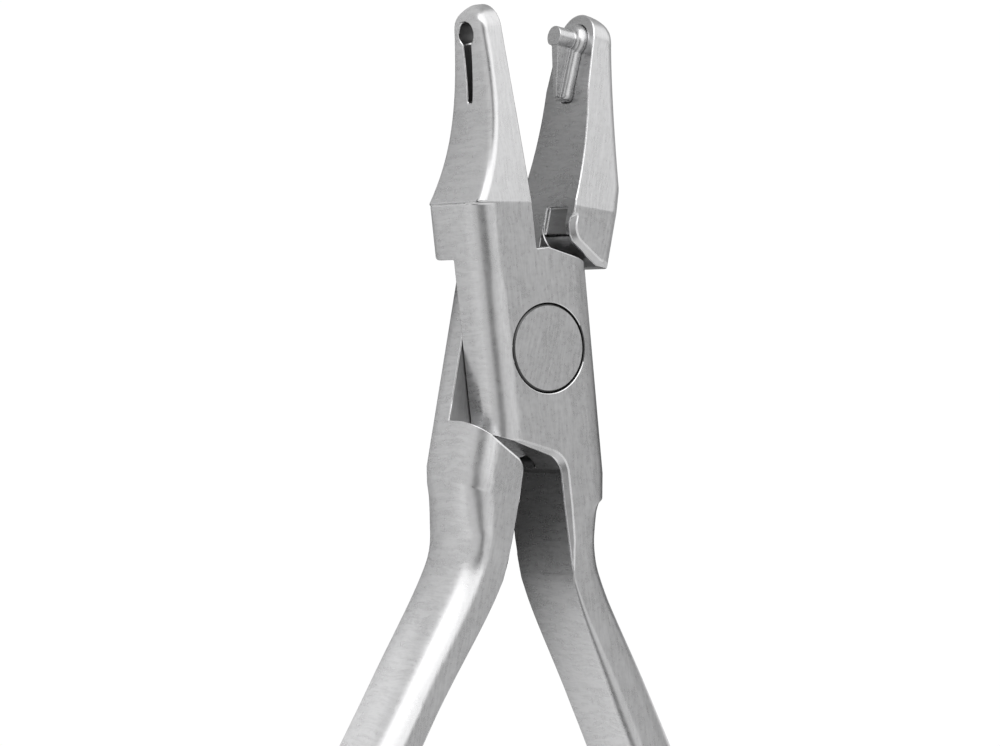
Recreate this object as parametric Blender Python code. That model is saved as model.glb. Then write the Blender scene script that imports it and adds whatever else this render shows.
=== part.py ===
"""Orthodontic aligner punch pliers: two crossed steel halves on one pivot pin.

The pliers lie on their back. The pivot axis is Z, with the rest plane at Z = 0 and the
front face at Z = JOINT_THICKNESS. +Y runs to the jaw tips and -Y to the handles.

Each half is drawn closed, in a frame of its own: the pivot axis is at the origin, z = 0 is
the lap plane between the halves, the jaw is on the -x side, the handle on the +x side and
the half's own lap plate at +z. The rear half is the same drawing turned over about y.
"""
import math

import bmesh
import bpy
import numpy as np
from mathutils import Matrix

MM = 0.001

# Overall sizes
JOINT_THICKNESS = 7.5 * MM
DIE_JAW_REACH = 27.7 * MM
PUNCH_JAW_LEAD = 0.15 * MM
PUNCH_JAW_REACH = DIE_JAW_REACH + PUNCH_JAW_LEAD
HANDLE_REACH = 112.6 * MM
OPEN_TURN = math.radians(10.0)

# Lap joint
DIE_JOINT_OUTER = 5.5 * MM
PUNCH_JOINT_OUTER = 5.9 * MM
JOINT_FLARE = 0.5 * MM
PLATE_OUTER = 5.75 * MM
EDGE_SLOPE = math.radians(22.0)
UPPER_EDGE = 7.8 * MM
DIE_LOWER_EDGE = 8.05 * MM
PUNCH_LOWER_EDGE = 8.45 * MM
DIE_LOWER_SLOPE = math.radians(25.0)
PUNCH_LOWER_SLOPE = math.radians(29.0)
DIE_SHOULDER = 9.45 * MM
PUNCH_SHOULDER = 8.4 * MM
PUNCH_SHOULDER_FLAT = 1.2 * MM
SHOULDER_SLOPE = math.radians(25.0)
HANDLE_SHOULDER = 9.0 * MM
PLATE_LAND = 8.0 * MM
PLATE_CORNER = 1.4 * MM
DIE_ROOT_FILLET = 1.8 * MM
PUNCH_ROOT_FILLET = 2.4 * MM
JAW_ROUND = 2.0 * MM
DIE_HANDLE_ROUND = 0.8 * MM
PUNCH_HANDLE_ROUND = 1.4 * MM
LAP_GAP = 0.1 * MM
CLOSED_GAP = 0.3 * MM
HANDLE_GAP = 0.5 * MM
LIP_CHAMFER = 0.45 * MM
LIP_FADE = 3.5 * MM
PLATE_FILLET = 2.2 * MM
JOINT_FILLET = 2.2 * MM

# Jaws
TIP_RADIUS = 2.2 * MM
PUNCH_TIP_RADIUS = 2.35 * MM
TIP_CORNER = 1.4 * MM
TAPER_START = 12.3 * MM
CREASE_SLOPE = 0.105
DIE_WALL = 2.15 * MM
DIE_SWEEP_START = 5.3 * MM
DIE_SWEEP_POWER = 3.3
DIE_FILLET = 1.1 * MM
PUNCH_JAW_OUTER = 4.8 * MM
PUNCH_JAW_TIP = 2.2 * MM
PUNCH_JAW_BEND = 14.2 * MM
PUNCH_JAW_POWER = 1.3
PUNCH_JAW_FILLET = 0.8 * MM
PUNCH_JAW_HOLLOW = 0.3 * MM
HOLLOW_TOP = 21.5 * MM
HOLLOW_FOOT = 12.2 * MM

# Handles
HANDLE_THICKNESS = 7.1 * MM
WIDEST_REACH = 10.8 * MM
DIE_CORNER_RUN = 2.05 * MM
PUNCH_CORNER_RUN = 1.2 * MM
NOTCH_DEPTH = 0.3 * MM
HANDLE_CREASE = 15.0 * MM
HANDLE_CREASE_SLOPE = 0.29
WAIST_REACH = 16.8 * MM
INNER_WAIST_REACH = 18.3 * MM
DIE_WAIST_OUTER = 3.4 * MM
PUNCH_WAIST_OUTER = 4.1 * MM
PUNCH_WAIST_CURVE = 1.3
BEND_REACH = 30.0 * MM
DIE_BEND_OUTER = 7.9 * MM
PUNCH_BEND_OUTER = 8.15 * MM
DIE_BEND_INNER = 3.55 * MM
PUNCH_BEND_INNER = 3.9 * MM
PALM_REACH = 92.0 * MM
PALM_OUTER = 18.6 * MM
PALM_INNER = 13.2 * MM
HANDLE_TUCK = 0.7 * MM
HANDLE_CURVE = 2.2
HANDLE_END_ROUND = 2.5 * MM
HANDLE_FILLET = 2.6 * MM
HANDLE_INNER_FILLET = 1.0 * MM
WAIST_INNER_FILLET = 0.05 * MM

# Pivot pin
PIN_HEAD = 7.0 * MM
PIN_HEAD_DEPTH = 1.6 * MM
PIN_SHANK = 5.0 * MM
PIN_RUNNING_GAP = 0.1 * MM
PIN_SEAT_GAP = 0.05 * MM

# Key-shaped punch and die
KEY_REACH = DIE_JAW_REACH - TIP_RADIUS
KEY_RADIUS = 0.95 * MM
KEY_SLOT_LENGTH = 5.4 * MM
KEY_SLOT_TOP = 1.05 * MM
KEY_SLOT_END = 0.6 * MM
PUNCH_CLEARANCE = 0.1 * MM
PUNCH_LENGTH = 2.25 * MM
WEB_STEP = 0.25 * MM
WEB_DROP = 1.1 * MM
PUNCH_FOOT_GAP = 0.45 * MM
INSERT_BORDER = 0.5 * MM
INSERT_HEIGHT = 0.7 * MM
INSERT_DEPTH = 0.9 * MM
INSERT_GAP = 0.05 * MM
RELIEF_DEPTH = 0.4 * MM
RELIEF_WALL = 1.0 * MM
RELIEF_REACH = 11.7 * MM

# Facets
CORNER_FACETS = 5
PIN_FACETS = 48
CLEAR = 12.0 * MM
OVERCUT = 0.2 * MM
SLIVER = 0.01 * MM

STEEL_COLOUR = (0.62, 0.62, 0.63, 1.0)
PIN_COLOUR = (0.60, 0.60, 0.61, 1.0)
PUNCH_COLOUR = (0.50, 0.50, 0.51, 1.0)


def clear_scene():
    """Removes whatever the scene holds."""
    for item in list(bpy.data.objects):
        bpy.data.objects.remove(item)


def steel(name, colour, roughness):
    """A bare metal material."""
    material = bpy.data.materials.new(name)
    material.use_nodes = True
    shader = material.node_tree.nodes["Principled BSDF"]
    shader.inputs["Base Color"].default_value = colour
    shader.inputs["Metallic"].default_value = 1.0
    shader.inputs["Roughness"].default_value = roughness
    return material


def add_mesh(name, rings, parent, material=None, first_cap=True, last_cap=True):
    """A closed solid skinned over rings of equally many points, with flat ends."""
    count = len(rings[0])
    points = [tuple(point) for ring in rings for point in ring]
    faces = []
    for row in range(len(rings) - 1):
        for column in range(count):
            a = row * count + column
            b = row * count + (column + 1) % count
            faces.append((a, b, b + count, a + count))
    if first_cap:
        faces.append(tuple(range(count))[::-1])
    if last_cap:
        faces.append(tuple(range((len(rings) - 1) * count, len(rings) * count)))
    mesh = bpy.data.meshes.new(name)
    mesh.from_pydata(points, [], faces)
    skin = bmesh.new()
    skin.from_mesh(mesh)
    bmesh.ops.recalc_face_normals(skin, faces=skin.faces)
    skin.to_mesh(mesh)
    skin.free()
    mesh.shade_smooth()
    mesh.set_sharp_from_angle(angle=math.radians(30.0))
    item = bpy.data.objects.new(name, mesh)
    bpy.context.scene.collection.objects.link(item)
    item.parent = parent
    if material:
        mesh.materials.append(material)
    else:
        item.hide_render = True
        item.display_type = "WIRE"
    return item


def add_empty(name, matrix):
    """A parent that carries one half of the pliers."""
    empty = bpy.data.objects.new(name, None)
    bpy.context.scene.collection.objects.link(empty)
    empty.matrix_world = matrix
    return empty


def cut(item, cutter):
    """Takes a cutter's volume away from a solid."""
    modifier = item.modifiers.new(cutter.name, "BOOLEAN")
    modifier.operation = "DIFFERENCE"
    modifier.solver = "EXACT"
    modifier.object = cutter


def between(start, end, part):
    """The value a part of the way from start to end."""
    return start + (end - start) * part


def part_way(value, start, end):
    """How far a value lies from start to end, held between 0 and 1."""
    return min(1.0, max(0.0, (value - start) / (end - start)))


def ease(part, power):
    """A part of the way that starts fast and levels off."""
    return 1.0 - (1.0 - part) ** power


def rounded(corners):
    """A closed outline through (x, y, radius) corners, its arcs in short chords."""
    outline = []
    count = len(corners)
    for k, (x, y, radius) in enumerate(corners):
        here = np.array((x, y))
        if radius == 0.0:
            outline.append(here)
            continue
        back = np.array(corners[k - 1][:2]) - here
        ahead = np.array(corners[(k + 1) % count][:2]) - here
        back = back / np.linalg.norm(back)
        ahead = ahead / np.linalg.norm(ahead)
        half = 0.5 * math.acos(float(np.clip(back @ ahead, -1.0, 1.0)))
        middle = (back + ahead) / np.linalg.norm(back + ahead)
        centre = here + middle * radius / math.sin(half)
        start = here + back * radius / math.tan(half) - centre
        end = here + ahead * radius / math.tan(half) - centre
        sweep = math.pi - 2.0 * half
        for j in range(CORNER_FACETS + 1):
            from_start = math.sin((1.0 - j / CORNER_FACETS) * sweep) / math.sin(sweep)
            from_end = math.sin(j / CORNER_FACETS * sweep) / math.sin(sweep)
            outline.append(centre + start * from_start + end * from_end)
    return np.array(outline)


def grown(outline, distance):
    """The outline moved outward by a distance, its corners mitred."""
    ahead = np.roll(outline, -1, axis=0) - outline
    length = np.linalg.norm(ahead, axis=1)[:, None]
    normal = np.column_stack((ahead[:, 1], -ahead[:, 0])) / length
    if np.sum(outline[:, 0] * ahead[:, 1] - outline[:, 1] * ahead[:, 0]) < 0.0:
        normal = -normal
    before = np.roll(normal, 1, axis=0)
    mitre = (normal + before) / (1.0 + np.sum(normal * before, axis=1))[:, None]
    return outline + mitre * distance


def prism(name, outline, levels, parent):
    """A cutter along z: an outline at each (z, growth) level."""
    rings = []
    if np.sum(np.cross(outline, np.roll(outline, -1, axis=0))) < 0.0:
        outline = outline[::-1]
    for z, growth in levels:
        ring = grown(outline, growth)
        rings.append(np.column_stack((ring, np.full(len(ring), z))))
    return add_mesh(name, rings, parent)


def key_outline(border, foot_gap=0.0):
    """The keyhole's outline as (distance from pivot, z), grown by a border, its foot raised by a gap."""
    radius = KEY_RADIUS + border
    top = 0.5 * KEY_SLOT_TOP + border
    end = 0.5 * KEY_SLOT_END + border
    foot = KEY_REACH - KEY_SLOT_LENGTH - border + foot_gap
    neck = math.asin(top / radius)
    steps = 3 * CORNER_FACETS
    outline = []
    for k in range(steps + 1):
        angle = math.pi - neck - 2.0 * (math.pi - neck) * k / steps
        outline.append((KEY_REACH + radius * math.cos(angle), radius * math.sin(angle)))
    corner = 0.6 * end
    arc = [math.radians(90.0 * j / 3.0) for j in range(4)]
    turn = [(foot + corner * (1.0 - math.sin(a)), end - corner * (1.0 - math.cos(a))) for a in arc]
    outline.extend((reach, -z) for reach, z in turn)
    outline.extend(turn[::-1])
    return np.array(outline)


def turned_ring(outline, angle, lift):
    """A key outline at a turn about the pivot axis, in the closed frame."""
    ring = []
    for reach, z in outline:
        ring.append((reach * math.sin(angle) + lift, reach * math.cos(angle), z))
    return ring


def flat_ring(outline, x):
    """A key outline on a plane across x."""
    return [(x, reach, z) for reach, z in outline]


def edge_at(x, distance, slope=EDGE_SLOPE):
    """Height over the pivot, at x, of an edge that slopes up to +x at a distance from the pivot."""
    return (distance + x * math.sin(slope)) / math.cos(slope)


class Half:
    """Contours and sections of one half in its closed frame."""

    def __init__(self, is_die):
        self.is_die = is_die
        self.half_joint = 0.5 * JOINT_THICKNESS
        self.half_handle = 0.5 * HANDLE_THICKNESS
        self.jaw_inner = -0.5 * CLOSED_GAP
        self.handle_inner = 0.5 * HANDLE_GAP
        self.fillet = DIE_FILLET if is_die else PUNCH_JAW_FILLET
        self.jaw_reach = DIE_JAW_REACH if is_die else PUNCH_JAW_REACH
        self.jaw_shoulder = DIE_SHOULDER if is_die else PUNCH_SHOULDER
        self.tip_radius = TIP_RADIUS if is_die else PUNCH_TIP_RADIUS
        self.tip_centre = self.jaw_reach - self.tip_radius
        self.hollow = 0.0 if is_die else PUNCH_JAW_HOLLOW
        self.lower_edge = DIE_LOWER_EDGE if is_die else PUNCH_LOWER_EDGE
        self.lower_slope = DIE_LOWER_SLOPE if is_die else PUNCH_LOWER_SLOPE
        self.root_fillet = DIE_ROOT_FILLET if is_die else PUNCH_ROOT_FILLET
        self.handle_round = DIE_HANDLE_ROUND if is_die else PUNCH_HANDLE_ROUND
        self.shoulder_flat = -OVERCUT if is_die else PUNCH_SHOULDER_FLAT
        self.joint_outer = DIE_JOINT_OUTER if is_die else PUNCH_JOINT_OUTER
        self.notch = NOTCH_DEPTH if is_die else 0.0
        self.notch_reach = WIDEST_REACH + (DIE_CORNER_RUN if is_die else PUNCH_CORNER_RUN)
        self.waist_curve = HANDLE_CURVE if is_die else PUNCH_WAIST_CURVE
        self.waist = DIE_WAIST_OUTER if is_die else PUNCH_WAIST_OUTER
        self.bend_outer = DIE_BEND_OUTER if is_die else PUNCH_BEND_OUTER
        self.bend_inner = DIE_BEND_INNER if is_die else PUNCH_BEND_INNER

    def jaw_outer(self, y):
        """Outer side of the jaw: a swept hollow on the die, a straighter taper on the punch."""
        if self.is_die:
            part = part_way(y, TAPER_START, self.jaw_reach)
            return between(DIE_SWEEP_START, DIE_WALL, ease(part, DIE_SWEEP_POWER))
        part = part_way(y, PUNCH_JAW_BEND, self.jaw_reach)
        return between(PUNCH_JAW_OUTER, PUNCH_JAW_TIP, ease(part, PUNCH_JAW_POWER))

    def block_outer(self, y):
        """Outer side of the lap plate and of the jaw's block above it."""
        if self.is_die:
            return PLATE_OUTER
        return between(PLATE_OUTER, PUNCH_JAW_OUTER, part_way(y, 0.6 * PUNCH_SHOULDER, 0.85 * PUNCH_SHOULDER))

    def joint_right(self, y):
        """Handle side of the joint block, widest just above the notch."""
        if -y < WIDEST_REACH:
            return self.joint_outer + JOINT_FLARE * (0.25 - 0.75 * part_way(-y, -PLATE_LAND, WIDEST_REACH))
        corner = part_way(-y, WIDEST_REACH, self.notch_reach)
        return self.joint_outer - JOINT_FLARE * (0.5 + 0.6 * corner)

    def swing(self, y, start, waist, bend, palm):
        """One side of the handle, from the waist through the bend to the palm."""
        if -y > PALM_REACH:
            return palm - HANDLE_TUCK * part_way(-y, PALM_REACH, HANDLE_REACH) ** 2
        if -y > BEND_REACH:
            return between(bend, palm, ease(part_way(-y, BEND_REACH, PALM_REACH), HANDLE_CURVE))
        part = part_way(-y, start, BEND_REACH)
        return between(waist, bend, (1.5 - 0.5 * part) * part ** 1.5)

    def handle_right(self, y):
        """Outer side of the handle: the scallop under the notch, then the swing."""
        if -y > WAIST_REACH:
            return self.swing(y, WAIST_REACH, self.waist, self.bend_outer, PALM_OUTER)
        notch = self.joint_right(-self.notch_reach) - self.notch
        part = part_way(-y, self.notch_reach, WAIST_REACH)
        return between(notch, self.waist, ease(part, self.waist_curve))

    def jaw_section(self, y):
        """Left, right, half-thickness, corner radii and crease slope of the jaw."""
        part = part_way(y, TAPER_START, self.tip_centre)
        half = between(self.half_joint, self.tip_radius, part)
        if y > self.tip_centre:
            flat = 0.05 * self.tip_radius
            half = max(math.sqrt(self.tip_radius ** 2 - (y - self.tip_centre) ** 2), flat)
        over = max(0.0, y - (self.jaw_reach - TIP_CORNER))
        corner = TIP_CORNER - math.sqrt(max(TIP_CORNER ** 2 - over ** 2, 0.0))
        radii = [self.fillet, self.fillet, OVERCUT, OVERCUT]
        return corner - self.jaw_outer(y), DIE_FILLET, half, radii, CREASE_SLOPE * (1.0 - part)

    def joint_section(self, y):
        """The same values for the joint block."""
        block = PLATE_FILLET if self.is_die else self.fillet
        radii = [PLATE_FILLET, block, JOINT_FILLET, JOINT_FILLET]
        slope = CREASE_SLOPE * part_way(y, 0.6 * TAPER_START, 0.95 * TAPER_START)
        return -self.block_outer(y), self.joint_right(y), self.half_joint, radii, slope

    def handle_section(self, y):
        """The same values for the handle."""
        half = between(self.half_joint, self.half_handle, part_way(-y, HANDLE_CREASE, 1.35 * HANDLE_CREASE))
        left = self.swing(y, INNER_WAIST_REACH, self.handle_inner, self.bend_inner, PALM_INNER)
        if -y < between(self.notch_reach, WAIST_REACH, 0.8):
            left = -PLATE_OUTER
        outer = between(JOINT_FILLET, HANDLE_FILLET, part_way(-y, self.notch_reach, BEND_REACH))
        inner = between(WAIST_INNER_FILLET, HANDLE_INNER_FILLET, part_way(-y, WAIST_REACH, BEND_REACH))
        over = max(0.0, HANDLE_END_ROUND - (HANDLE_REACH + y))
        drop = HANDLE_END_ROUND - math.sqrt(max(HANDLE_END_ROUND ** 2 - over ** 2, 0.0))
        rise = part_way(-y, 0.7 * HANDLE_CREASE, HANDLE_CREASE)
        fall = part_way(-y, 1.3 * HANDLE_CREASE, HANDLE_CREASE)
        slope = HANDLE_CREASE_SLOPE * min(rise, fall)
        radii = [inner, inner, outer, outer]
        return left + 0.9 * drop, self.handle_right(y) - 0.9 * drop, half - drop, radii, slope

    def section(self, y):
        """Left, right, half-thickness, corner radii and crease slope at a height y."""
        if y >= TAPER_START:
            return self.jaw_section(y)
        if y >= -self.notch_reach:
            return self.joint_section(y)
        return self.handle_section(y)

    def ring(self, y):
        """The rounded section at a height y, front left corner first."""
        left, right, half, radii, slope = self.section(y)
        limit = 0.98 * min(half, 0.5 * (right - left))
        front_left, back_left, back_right, front_right = [min(radius, limit) for radius in radii]
        corners = (
            (left + front_left, half - front_left, front_left, 90.0),
            (left + back_left, back_left - half, back_left, 180.0),
            (right - back_right, back_right - half, back_right, 270.0),
            (right - front_right, half - front_right, front_right, 0.0),
        )
        ring = []
        for x, z, radius, start in corners:
            for k in range(CORNER_FACETS + 1):
                angle = math.radians(start + 90.0 * k / CORNER_FACETS)
                px = x + radius * math.cos(angle)
                lean = slope * (left - px) if y > 0.0 else slope * (max(px, 0.0) - right)
                ring.append((px, y + lean, z + radius * math.sin(angle)))
        return ring

    def stations(self):
        """Heights of the sections, from the handle's end to the jaw's tip."""
        hair = 0.01 * self.notch_reach
        turns = [math.radians(a) for a in (0, 25, 45, 65, 90)]
        end = [HANDLE_REACH - HANDLE_END_ROUND * (1.0 - math.cos(a)) for a in turns]
        palm = list(np.linspace(between(PALM_REACH, HANDLE_REACH, 0.6), BEND_REACH, 16))
        bend = list(np.linspace(between(BEND_REACH, WAIST_REACH, 0.1), WAIST_REACH, 9))
        flare = [between(self.notch_reach, WAIST_REACH, part) for part in (0.78, 0.6, 0.4, 0.2)]
        notch = [self.notch_reach + hair, self.notch_reach, WIDEST_REACH]
        down = [-reach for reach in end + palm + bend + flare + notch]
        shoulder = [0.6 * PUNCH_SHOULDER, 0.85 * PUNCH_SHOULDER]
        joint = [-0.5 * WIDEST_REACH, 0.0, *shoulder, TAPER_START - hair]
        jaw = list(np.linspace(TAPER_START, self.tip_centre, 12))
        turns = [math.radians(a) for a in (15, 30, 45, 60, 75, 86)]
        tip = [self.tip_centre + self.tip_radius * math.sin(a) for a in turns]
        return down + joint + jaw + tip


def build_half(name, half, parent, material):
    """One forging: the skinned envelope less the spaces beside and under its plate."""
    rings = [half.ring(y) for y in half.stations()]
    body = add_mesh(name, rings, parent, material)
    top = half.half_joint + OVERCUT
    flare = LIP_CHAMFER + OVERCUT

    slope = math.sin(EDGE_SLOPE)
    land_end = (UPPER_EDGE - PLATE_LAND * math.cos(EDGE_SLOPE)) / slope
    edge_x = half.joint_outer + JOINT_FLARE
    hollow = []
    for part in np.linspace(0.0, 1.0, 2 * CORNER_FACETS + 1):
        x = half.jaw_inner - 4.0 * half.hollow * part * (1.0 - part)
        hollow.append((x, between(HOLLOW_TOP, HOLLOW_FOOT, part), 0.0))
    upper = rounded([
        (half.jaw_inner, half.jaw_reach + CLEAR, 0.0),
        *hollow,
        (half.jaw_inner, PLATE_LAND, 0.0),
        (land_end, PLATE_LAND, 0.0),
        (edge_x, edge_at(-edge_x, UPPER_EDGE), PLATE_CORNER),
        (edge_x, 0.5 * UPPER_EDGE, 0.0),
        (edge_x + CLEAR, 0.5 * UPPER_EDGE, 0.0),
        (edge_x + CLEAR, half.jaw_reach + CLEAR, 0.0),
    ])
    cut(body, prism(name + "_upper_clearance", upper, [(-top, 0.0), (top, 0.0)], parent))

    inside = half.handle_inner
    foot = WAIST_REACH + 8.0 * LIP_CHAMFER
    lower = rounded([
        (-CLEAR, -edge_at(-CLEAR, half.lower_edge, half.lower_slope), 0.0),
        (inside, -edge_at(inside, half.lower_edge, half.lower_slope), half.root_fillet),
        (inside, -half.notch_reach, 0.0),
        (inside - SLIVER, -WAIST_REACH, 0.0),
        (inside - LIP_CHAMFER, -foot, 0.0),
        (-CLEAR, -foot, 0.0),
    ])
    levels = [(-top, 0.0), (half.half_joint - LIP_CHAMFER, 0.0), (top, flare)]
    cut(body, prism(name + "_lower_clearance", lower, levels, parent))

    flat_x = half.shoulder_flat - half.block_outer(half.jaw_shoulder)
    flat_y = edge_at(flat_x, half.jaw_shoulder, SHOULDER_SLOPE)
    jaw_root = edge_at(half.jaw_inner, half.jaw_shoulder, SHOULDER_SLOPE)
    jaw_top = jaw_root + 0.75 * JAW_ROUND
    handle_root = edge_at(-inside, HANDLE_SHOULDER)
    lap = rounded([
        (-CLEAR, flat_y, 0.0),
        (flat_x, flat_y, 0.0),
        (half.jaw_inner + SLIVER, jaw_root, JAW_ROUND),
        (half.jaw_inner + SLIVER, jaw_top, 0.0),
        (CLEAR, jaw_top, 0.0),
        (CLEAR, -edge_at(-CLEAR, HANDLE_SHOULDER), 0.0),
        (inside - SLIVER, -handle_root, half.handle_round),
        (inside - SLIVER, -handle_root - half.handle_round, 0.0),
        (inside - LIP_CHAMFER - SLIVER, -handle_root - LIP_FADE, 0.0),
        (-CLEAR, -handle_root - LIP_FADE, 0.0),
    ])
    levels = [(-top, flare), (-half.half_joint + LIP_CHAMFER, 0.0), (0.5 * LAP_GAP, 0.0)]
    cut(body, prism(name + "_lap_recess", lap, levels, parent))
    return body


def circle(radius):
    """A round outline about the pivot axis."""
    angles = np.linspace(0.0, 2.0 * math.pi, PIN_FACETS, endpoint=False)
    return np.column_stack((radius * np.cos(angles), radius * np.sin(angles)))


def turned(name, levels, parent, material=None):
    """A round solid about the pivot axis, through (radius, z) levels."""
    rings = [np.column_stack((circle(radius), np.full(PIN_FACETS, z))) for radius, z in levels]
    return add_mesh(name, rings, parent, material)


def build_pin(parent, material):
    """A flat-headed pin, its head flush with the front and its end flush with the back."""
    half = 0.5 * JOINT_THICKNESS
    head = 0.5 * PIN_HEAD
    shank = 0.5 * PIN_SHANK
    under = half - PIN_HEAD_DEPTH
    turned("pivot_pin", ((shank, -half), (shank, under), (head, under), (head, half)), parent, material)


def cut_pin_hole(body, parent):
    """The running hole in the front half, counterbored for the pin's head."""
    through = 0.5 * JOINT_THICKNESS + OVERCUT
    shank = 0.5 * PIN_SHANK + PIN_RUNNING_GAP
    head = 0.5 * PIN_HEAD + PIN_RUNNING_GAP
    seat = 0.5 * JOINT_THICKNESS - PIN_HEAD_DEPTH - PIN_RUNNING_GAP
    levels = ((shank, -through), (shank, seat), (head, seat), (head, through))
    cut(body, turned("pin_hole", levels, parent))


def cut_pin_seat(body, parent):
    """The close hole in the rear half that holds the pin."""
    through = 0.5 * JOINT_THICKNESS + OVERCUT
    shank = 0.5 * PIN_SHANK + PIN_SEAT_GAP
    cut(body, turned("pin_seat_hole", ((shank, -through), (shank, through)), parent))


def cut_keyhole(body, parent):
    """The die: a keyhole swept about the pivot axis through the jaw."""
    outline = key_outline(0.0)
    first = -math.atan2(PLATE_OUTER, KEY_REACH)
    last = math.atan2(DIE_FILLET, KEY_REACH)
    rings = [turned_ring(outline, angle, 0.0) for angle in np.linspace(first, last, 10)]
    cut(body, add_mesh("die_keyhole", rings, parent))


def build_punch(half, parent, material):
    """The brazed insert: a rounded key-shaped base and the punch, swept about the pivot."""
    face = half.jaw_inner
    top = face + INSERT_HEIGHT
    base_foot = PUNCH_FOOT_GAP + 0.4 * INSERT_BORDER
    base = key_outline(INSERT_BORDER, base_foot)
    edge = key_outline(0.8 * INSERT_BORDER, base_foot)
    step = key_outline(0.3 * INSERT_BORDER, base_foot)
    punch = key_outline(-PUNCH_CLEARANCE, PUNCH_FOOT_GAP)
    rings = [
        flat_ring(base, face - INSERT_DEPTH),
        flat_ring(base, top - 0.7 * INSERT_BORDER),
        flat_ring(edge, top - 0.2 * INSERT_BORDER),
        flat_ring(step, top),
        flat_ring(punch, top),
    ]
    first = math.asin((top + INSERT_BORDER) / KEY_REACH)
    last = math.asin((face + PUNCH_LENGTH) / KEY_REACH)
    rings += [turned_ring(punch, angle, 0.0) for angle in np.linspace(first, last, 5)]
    insert = add_mesh("punch_insert", rings, parent, material)
    end_x = face + PUNCH_LENGTH
    web_x = end_x - WEB_STEP
    cylinder = KEY_RADIUS - PUNCH_CLEARANCE
    web = 0.5 * KEY_SLOT_TOP - PUNCH_CLEARANCE
    high = KEY_REACH - math.sqrt(cylinder ** 2 - web ** 2)
    low = KEY_REACH - KEY_SLOT_LENGTH - INSERT_BORDER
    wedge = np.array([
        (web_x - WEB_DROP, low),
        (end_x + PUNCH_LENGTH, low),
        (end_x + PUNCH_LENGTH, high),
        (web_x, high),
    ])
    cut(insert, prism("web_slope", wedge, [(-CLEAR, 0.0), (CLEAR, 0.0)], parent))
    return insert


def cut_insert_seat(body, half, parent):
    """The pocket in the punch jaw that holds the insert."""
    seat = key_outline(INSERT_BORDER + INSERT_GAP, PUNCH_FOOT_GAP + 0.4 * INSERT_BORDER)
    rings = [flat_ring(seat, half.jaw_inner - INSERT_DEPTH - INSERT_GAP), flat_ring(seat, CLEAR)]
    cut(body, add_mesh("insert_seat", rings, parent))


def cut_relief(body, half, parent):
    """The shallow relief at the foot of the punch jaw's inner face."""
    depth = half.half_joint - RELIEF_WALL
    outline = np.array([
        (half.jaw_inner - RELIEF_DEPTH, 0.9 * PUNCH_SHOULDER),
        (CLEAR, 0.9 * PUNCH_SHOULDER),
        (CLEAR, RELIEF_REACH),
        (half.jaw_inner - RELIEF_DEPTH, RELIEF_REACH),
    ])
    cut(body, prism("jaw_relief", outline, [(-depth, 0.0), (-LAP_GAP, 0.0)], parent))


def build():
    """Makes the whole pliers, opened to the rest pose."""
    clear_scene()
    lift = Matrix.Translation((0.0, 0.0, 0.5 * JOINT_THICKNESS))
    front_turn = add_empty("front_turn", lift @ Matrix.Rotation(OPEN_TURN, 4, "Z"))
    rear_turn = add_empty(
        "rear_turn",
        lift @ Matrix.Rotation(-OPEN_TURN, 4, "Z") @ Matrix.Rotation(math.pi, 4, "Y"),
    )
    pin_seat = add_empty("pin_seat", lift @ Matrix.Rotation(-OPEN_TURN, 4, "Z"))

    satin = steel("satin_steel", STEEL_COLOUR, 0.38)
    die = Half(True)
    punch = Half(False)

    front = build_half("front_half", die, front_turn, satin)
    cut_pin_hole(front, front_turn)
    cut_keyhole(front, front_turn)

    rear = build_half("rear_half", punch, rear_turn, satin)
    cut_pin_seat(rear, rear_turn)
    cut_insert_seat(rear, punch, rear_turn)
    cut_relief(rear, punch, rear_turn)

    build_pin(pin_seat, steel("pin_steel", PIN_COLOUR, 0.36))
    build_punch(punch, rear_turn, steel("punch_steel", PUNCH_COLOUR, 0.42))


build()
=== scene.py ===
"""Orthodontic aligner punch pliers, dressed: satin forged halves, a ground pin and a brazed punch.

Each half is drawn closed in a frame of its own, as in the part's source: the pivot axis at
the origin, z = 0 the lap plane, the jaw on the -x side, the handle on the +x side and the
half's own lap plate at +z. Lengths here are in millimetres until a mesh is put in place.
"""
import math

import bmesh
import bpy
import numpy as np
from mathutils import Matrix, Vector


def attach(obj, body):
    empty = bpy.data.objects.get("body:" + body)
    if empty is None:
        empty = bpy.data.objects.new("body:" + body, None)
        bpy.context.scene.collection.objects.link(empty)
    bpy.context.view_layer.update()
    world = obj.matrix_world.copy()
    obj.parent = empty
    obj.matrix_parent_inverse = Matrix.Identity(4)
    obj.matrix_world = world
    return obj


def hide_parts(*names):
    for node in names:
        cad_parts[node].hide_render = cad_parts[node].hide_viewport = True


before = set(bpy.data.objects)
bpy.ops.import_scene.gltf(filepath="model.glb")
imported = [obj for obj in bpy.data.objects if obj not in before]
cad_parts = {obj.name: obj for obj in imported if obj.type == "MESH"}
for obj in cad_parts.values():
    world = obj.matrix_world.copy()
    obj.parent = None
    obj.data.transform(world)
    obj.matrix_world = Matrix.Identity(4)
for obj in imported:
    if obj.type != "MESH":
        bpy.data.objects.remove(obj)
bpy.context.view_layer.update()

MM = 0.001

# Overall sizes
JOINT_THICKNESS = 7.5
DIE_JAW_REACH = 27.7
PUNCH_JAW_LEAD = 0.15
PUNCH_JAW_REACH = DIE_JAW_REACH + PUNCH_JAW_LEAD
HANDLE_REACH = 112.6
OPEN_TURN = math.radians(10.0)

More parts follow.
